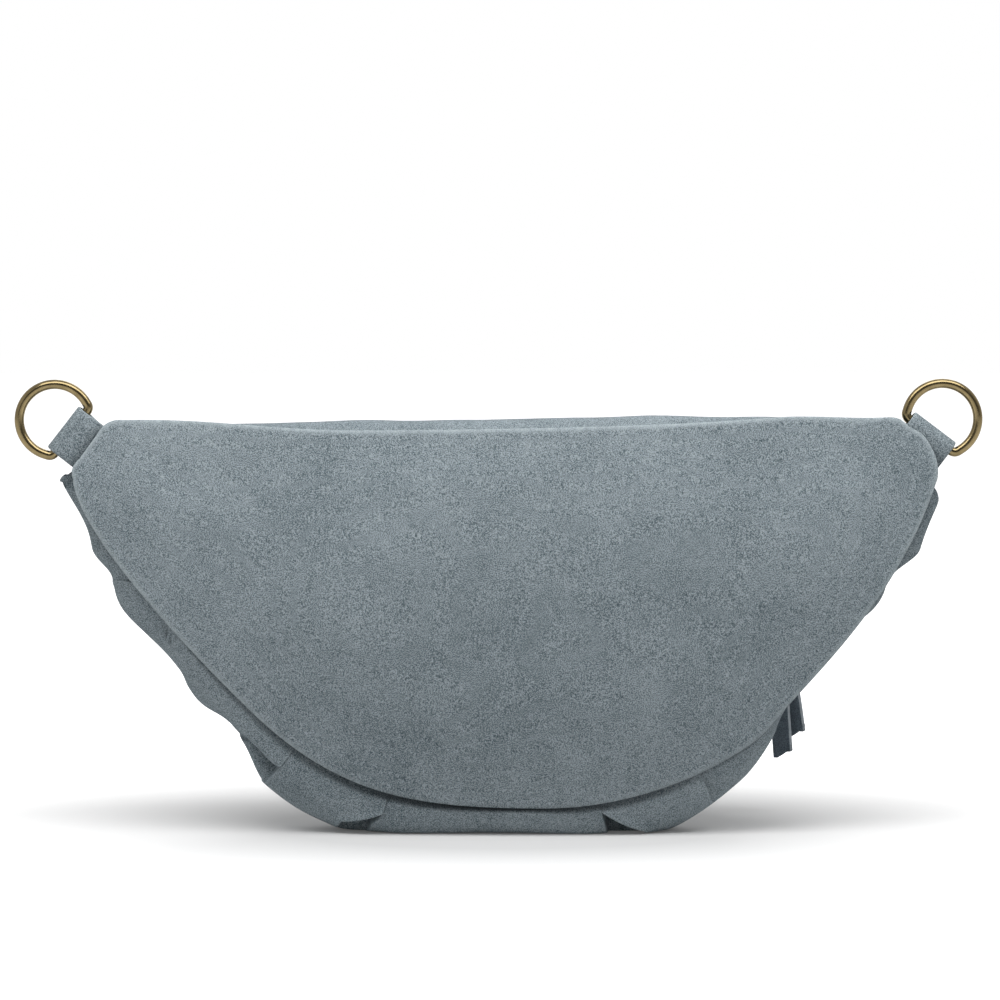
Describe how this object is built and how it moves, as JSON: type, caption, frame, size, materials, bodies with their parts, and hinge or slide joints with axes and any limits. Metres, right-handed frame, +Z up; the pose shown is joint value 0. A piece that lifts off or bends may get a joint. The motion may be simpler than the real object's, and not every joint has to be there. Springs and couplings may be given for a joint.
{
  "type": "fanny pack",
  "caption": "Soft suede half-moon waist bag with a flat back panel, pleated front, curved zip with a leather thong pull, and brass D-rings on folded tabs for a strap.",
  "frame": {"origin": "middle of the flat base, where the bag stands", "axes": "+X along the bag to the right when its back panel is seen, +Y from the back panel to the zipped front, +Z up"},
  "size_m": [0.3621, 0.0633, 0.1726],
  "materials": {
    "suede": "grey-blue napped suede",
    "lining": "plain woven lining",
    "interlining": "stiff non-woven backing",
    "zip_tape": "woven zip tape",
    "antique_brass": "antique brass, brushed and worn",
    "thong_leather": "dark slate leather with raw edges"
  },
  "bodies": {
    "bag": {"back_panel": "suede", "front_lower_panel": "suede", "tab_left": "suede", "tab_right": "suede", "back_interlining": "interlining", "back_lining": "lining", "slip_pocket": "lining", "front_lining": "lining", "zip_tape_lower": "zip_tape", "zip_end_tape_open": "zip_tape", "zip_end_tape_closed": "zip_tape", "zip_teeth_lower": "antique_brass", "zip_bottom_stop": "antique_brass", "zip_top_stop_upper": "antique_brass", "zip_top_stop_lower": "antique_brass"},
    "mouth_lip": {"front_yoke": "suede", "yoke_lining": "lining", "zip_tape_upper": "zip_tape", "zip_teeth_upper": "antique_brass"},
    "slider": {"zip_slider": "antique_brass"},
    "pull": {"zip_pull_thong": "thong_leather"},
    "ring_left": {"d_ring_left": "antique_brass"},
    "ring_right": {"d_ring_right": "antique_brass"}
  },
  "joints": [
    {"name": "lip_open", "type": "hinge", "parent": "bag", "child": "mouth_lip", "pos_m": [0, -0.0237, 0.1592], "axis": [1, 0, 0], "range_deg": [0, 50]},
    {"name": "slider_travel", "type": "hinge", "parent": "bag", "child": "slider", "pos_m": [0, -0.218, 0.096], "axis": [0, 0, 1], "range_deg": [0, 47.15]},
    {"name": "pull_swing", "type": "hinge", "parent": "slider", "child": "pull", "pos_m": [0.10242, 0.01668, 0.09707], "axis": [0.9165, -0.4, 0], "range_deg": [0, 120]},
    {"name": "ring_left_swing", "type": "hinge", "parent": "bag", "child": "ring_left", "pos_m": [-0.16253, -0.0201, 0.15244], "axis": [0.6157, 0, 0.788], "range_deg": [-75, 90]},
    {"name": "ring_right_swing", "type": "hinge", "parent": "bag", "child": "ring_right", "pos_m": [0.159, -0.0201, 0.15146], "axis": [0.7986, 0, -0.6018], "range_deg": [-75, 90]}
  ]
}
